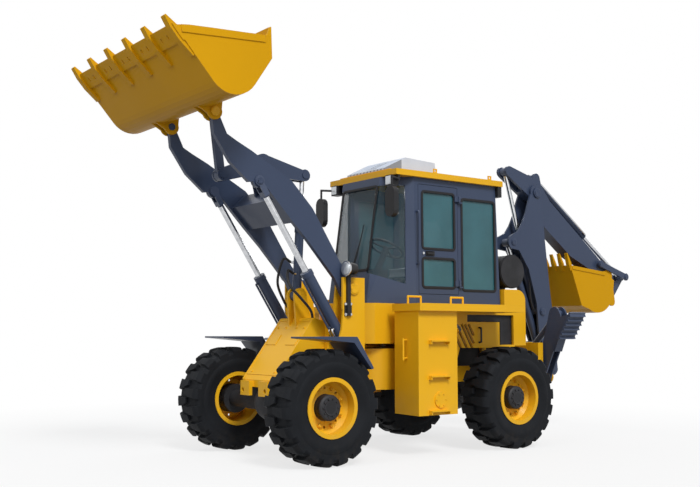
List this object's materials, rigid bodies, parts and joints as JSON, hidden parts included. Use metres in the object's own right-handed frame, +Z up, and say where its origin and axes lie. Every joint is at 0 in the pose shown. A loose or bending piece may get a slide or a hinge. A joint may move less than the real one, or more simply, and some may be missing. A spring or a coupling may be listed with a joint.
{
  "type": "backhoe loader",
  "caption": "Articulated backhoe loader with a toothed front bucket on lifting arms, a cab, a rear digging arm on a swing post and two folding stabiliser legs.",
  "frame": {"origin": "on the ground, on the axis of the hinge between the frames, half way between the axles", "axes": "+X forward, +Y to the left side, +Z up"},
  "size_m": [7.2209, 2.1756, 3.9537],
  "materials": {
    "yellow_paint": "gloss",
    "slate_paint": "satin",
    "black_paint": "satin",
    "rim_paint": "gloss",
    "tyre_rubber": "matte",
    "rod_chrome": "polished",
    "glass": "clear",
    "seat_cover": "matte",
    "pale_plastic": "matte",
    "black_plastic": "matte"
  },
  "bodies": {
    "rear": {"rear_frame": "yellow_paint", "rear_axle": "black_paint", "engine": "black_paint", "hood": "yellow_paint", "side_tanks": "yellow_paint", "platforms": "yellow_paint", "cab_frame": "slate_paint", "cab_glass": "glass", "cab_roof": "yellow_paint", "roof_unit": "pale_plastic", "seat": "seat_cover", "console": "black_plastic", "cab_fittings": "black_plastic"},
    "door": {"door": "slate_paint", "door_glass": "glass"},
    "front": {"front_frame": "yellow_paint", "front_axle": "black_paint", "front_fenders": "slate_paint", "headlamps": "black_plastic"},
    "arms": {"loader_arms": "slate_paint"},
    "level": {"bucket_pins": "rod_chrome"},
    "bucket": {"loader_bucket": "yellow_paint"},
    "crank_pin": {"bellcrank_pin": "rod_chrome"},
    "crank": {"bellcrank": "slate_paint"},
    "link_pin": {"link_pin": "rod_chrome"},
    "link": {"bucket_link": "slate_paint"},
    "lift_barrels": {"lift_barrels": "slate_paint"},
    "lift_rods": {"lift_rods": "rod_chrome"},
    "tilt_barrel": {"tilt_barrel": "slate_paint"},
    "tilt_rod": {"tilt_rod": "rod_chrome"},
    "swing_post": {"swing_post": "slate_paint"},
    "boom": {"boom": "slate_paint"},
    "stick": {"stick": "slate_paint"},
    "digger": {"digger_bucket": "yellow_paint"},
    "boom_barrel": {"boom_barrel": "slate_paint"},
    "boom_rod": {"boom_rod": "rod_chrome"},
    "stick_barrel": {"stick_barrel": "slate_paint"},
    "stick_rod": {"stick_rod": "rod_chrome"},
    "curl_barrel": {"curl_barrel": "slate_paint"},
    "curl_rod": {"curl_rod": "rod_chrome"},
    "rocker": {"curl_rocker": "slate_paint"},
    "curl_link": {"curl_link": "slate_paint"},
    "wheel_front_left": {"tyre_front_left": "tyre_rubber", "rim_front_left": "rim_paint"},
    "wheel_front_right": {"tyre_front_right": "tyre_rubber", "rim_front_right": "rim_paint"},
    "wheel_rear_left": {"tyre_rear_left": "tyre_rubber", "rim_rear_left": "rim_paint"},
    "wheel_rear_right": {"tyre_rear_right": "tyre_rubber", "rim_rear_right": "rim_paint"},
    "leg_left": {"leg_left": "slate_paint"},
    "leg_barrel_left": {"leg_barrel_left": "slate_paint"},
    "leg_rod_left": {"leg_rod_left": "rod_chrome"},
    "leg_right": {"leg_right": "slate_paint"},
    "leg_barrel_right": {"leg_barrel_right": "slate_paint"},
    "leg_rod_right": {"leg_rod_right": "rod_chrome"}
  },
  "joints": [
    {"name": "steer", "type": "hinge", "parent": "rear", "child": "front", "pos_m": [0, 0, 0.85], "axis": [0, 0, 1], "range_deg": [-28, 28]},
    {"name": "spin_front_left", "type": "hinge", "parent": "front", "child": "wheel_front_left", "pos_m": [1.215, 0.85, 0.5375], "axis": [0, 1, 0], "continuous": true},
    {"name": "spin_front_right", "type": "hinge", "parent": "front", "child": "wheel_front_right", "pos_m": [1.215, -0.85, 0.5375], "axis": [0, 1, 0], "continuous": true},
    {"name": "spin_rear_left", "type": "hinge", "parent": "rear", "child": "wheel_rear_left", "pos_m": [-1.215, 0.85, 0.5375], "axis": [0, 1, 0], "continuous": true},
    {"name": "spin_rear_right", "type": "hinge", "parent": "rear", "child": "wheel_rear_right", "pos_m": [-1.215, -0.85, 0.5375], "axis": [0, 1, 0], "continuous": true},
    {"name": "lift", "type": "hinge", "parent": "front", "child": "arms", "pos_m": [0.61, 0, 1.66], "axis": [0, 1, 0], "range_deg": [0, 87]},
    {"name": "level", "type": "hinge", "parent": "arms", "child": "level", "pos_m": [2.176, 0, 3.258], "axis": [0, -1, 0], "range_deg": [-0.5, 87.5]},
    {"name": "tilt", "type": "hinge", "parent": "level", "child": "bucket", "pos_m": [2.176, 0, 3.258], "axis": [0, -1, 0], "range_deg": [-93, 0]},
    {"name": "crank_carry", "type": "hinge", "parent": "arms", "child": "crank_pin", "pos_m": [1.38, 0, 2.9], "axis": [0, -1, 0], "range_deg": [-47.49, 0.5]},
    {"name": "crank_turn", "type": "hinge", "parent": "crank_pin", "child": "crank", "pos_m": [1.38, 0, 2.9], "axis": [0, -1, 0], "range_deg": [-0.5, 38.1]},
    {"name": "link_carry", "type": "hinge", "parent": "bucket", "child": "link_pin", "pos_m": [1.932, 0, 3.435], "axis": [0, -1, 0], "range_deg": [-115.21, 0.5]},
    {"name": "link_turn", "type": "hinge", "parent": "link_pin", "child": "link", "pos_m": [1.932, 0, 3.435], "axis": [0, -1, 0], "range_deg": [-0.5, 49.77]},
    {"name": "lift_barrel_turn", "type": "hinge", "parent": "front", "child": "lift_barrels", "pos_m": [0.59, 0, 1.01], "axis": [0, -1, 0], "range_deg": [-75.85, 0.5]},
    {"name": "lift_rod_slide", "type": "slide", "parent": "lift_barrels", "child": "lift_rods", "axis": [0.5513, 0, 0.8343], "range_m": [-0.8442, 0.002]},
    {"name": "tilt_barrel_turn", "type": "hinge", "parent": "front", "child": "tilt_barrel", "pos_m": [0.94, 0, 1.6], "axis": [0, -1, 0], "range_deg": [-104.24, 0.5]},
    {"name": "tilt_rod_slide", "type": "slide", "parent": "tilt_barrel", "child": "tilt_rod", "axis": [-0.0491, 0, 0.9988], "range_m": [-0.2934, 0.002]},
    {"name": "door_swing", "type": "hinge", "parent": "rear", "child": "door", "pos_m": [-0.8, 0.57, 2.2], "axis": [0, 0, 1], "range_deg": [0, 95]},
    {"name": "swing", "type": "hinge", "parent": "rear", "child": "swing_post", "pos_m": [-2.48, 0, 0.85], "axis": [0, 0, 1], "range_deg": [-90, 90]},
    {"name": "boom_lift", "type": "hinge", "parent": "swing_post", "child": "boom", "pos_m": [-2.76, 0, 0.8], "axis": [0, -1, 0], "range_deg": [0, 130]},
    {"name": "boom_barrel_turn", "type": "hinge", "parent": "swing_post", "child": "boom_barrel", "pos_m": [-2.64, 0, 1.01], "axis": [0, -1, 0], "range_deg": [-0.5, 134.62]},
    {"name": "boom_rod_slide", "type": "slide", "parent": "boom_barrel", "child": "boom_rod", "axis": [0.3775, 0, 0.926], "range_m": [-0.002, 0.425]},
    {"name": "stick_out", "type": "hinge", "parent": "boom", "child": "stick", "pos_m": [-2.52, 0, 2.94], "axis": [0, 1, 0], "range_deg": [0, 105]},
    {"name": "stick_barrel_turn", "type": "hinge", "parent": "boom", "child": "stick_barrel", "pos_m": [-2.59, 0, 1.48], "axis": [0, -1, 0], "range_deg": [-0.5, 6.25]},
    {"name": "stick_rod_slide", "type": "slide", "parent": "stick_barrel", "child": "stick_rod", "axis": [0.2829, 0, 0.9591], "range_m": [-0.768, 0.002]},
    {"name": "curl", "type": "hinge", "parent": "stick", "child": "digger", "pos_m": [-3.87, 0, 1.97], "axis": [0, 1, 0], "range_deg": [0, 130]},
    {"name": "rocker_turn", "type": "hinge", "parent": "stick", "child": "rocker", "pos_m": [-3.7, 0, 2.11], "axis": [0, -1, 0], "range_deg": [-87.44, 0.5]},
    {"name": "curl_barrel_turn", "type": "hinge", "parent": "stick", "child": "curl_barrel", "pos_m": [-2.56, 0, 3.13], "axis": [0, -1, 0], "range_deg": [-14.25, 0.5]},
    {"name": "curl_rod_slide", "type": "slide", "parent": "curl_barrel", "child": "curl_rod", "axis": [-0.8145, 0, -0.5802], "range_m": [-0.6021, 0.002]},
    {"name": "curl_link_turn", "type": "hinge", "parent": "digger", "child": "curl_link", "pos_m": [-3.93, 0, 1.63], "axis": [0, -1, 0], "range_deg": [-0.5, 60.69]},
    {"name": "leg_left", "type": "hinge", "parent": "rear", "child": "leg_left", "pos_m": [-2.1, 0.56, 0.72], "axis": [-1, 0, 0], "range_deg": [0, 107]},
    {"name": "leg_barrel_turn_left", "type": "hinge", "parent": "rear", "child": "leg_barrel_left", "pos_m": [-2.1, 0.3, 0.96], "axis": [1, 0, 0], "range_deg": [-82.17, 0.5]},
    {"name": "leg_rod_slide_left", "type": "slide", "parent": "leg_barrel_left", "child": "leg_rod_left", "axis": [0, 0.7144, 0.6998], "range_m": [-0.002, 0.4234]},
    {"name": "leg_right", "type": "hinge", "parent": "rear", "child": "leg_right", "pos_m": [-2.1, -0.56, 0.72], "axis": [1, 0, 0], "range_deg": [0, 107]},
    {"name": "leg_barrel_turn_right", "type": "hinge", "parent": "rear", "child": "leg_barrel_right", "pos_m": [-2.1, -0.3, 0.96], "axis": [-1, 0, 0], "range_deg": [-82.17, 0.5]},
    {"name": "leg_rod_slide_right", "type": "slide", "parent": "leg_barrel_right", "child": "leg_rod_right", "axis": [0, -0.7144, 0.6998], "range_m": [-0.002, 0.4234]}
  ],
  "couplings": [
    {"joint": "level", "follows": "lift", "ratio": 1},
    {"joint": "crank_carry", "follows": "lift", "ratio": -0.54007},
    {"joint": "crank_turn", "follows": "tilt", "ratio": -0.40426},
    {"joint": "link_carry", "follows": "lift", "ratio": -1.3186},
    {"joint": "link_turn", "follows": "tilt", "ratio": -0.52974},
    {"joint": "lift_barrel_turn", "follows": "lift", "ratio": -0.86611},
    {"joint": "lift_rod_slide", "follows": "lift", "m_per_rad": -0.55466},
    {"joint": "tilt_barrel_turn", "follows": "lift", "ratio": -1.1924},
    {"joint": "tilt_rod_slide", "follows": "tilt", "m_per_rad": 0.1795},
    {"joint": "boom_barrel_turn", "follows": "boom_lift", "ratio": 1.0317},
    {"joint": "boom_rod_slide", "follows": "boom_lift", "m_per_rad": 0.18643},
    {"joint": "stick_barrel_turn", "follows": "stick_out", "ratio": 0.054727},
    {"joint": "stick_rod_slide", "follows": "stick_out", "m_per_rad": -0.41799},
    {"joint": "rocker_turn", "follows": "curl", "ratio": -0.66878},
    {"joint": "curl_barrel_turn", "follows": "curl", "ratio": -0.10574},
    {"joint": "curl_rod_slide", "follows": "curl", "m_per_rad": -0.26448},
    {"joint": "curl_link_turn", "follows": "curl", "ratio": 0.463},
    {"joint": "leg_barrel_turn_left", "follows": "leg_left", "ratio": -0.76329},
    {"joint": "leg_rod_slide_left", "follows": "leg_left", "m_per_rad": 0.22565},
    {"joint": "leg_barrel_turn_right", "follows": "leg_right", "ratio": -0.76329},
    {"joint": "leg_rod_slide_right", "follows": "leg_right", "m_per_rad": 0.22565}
  ]
}
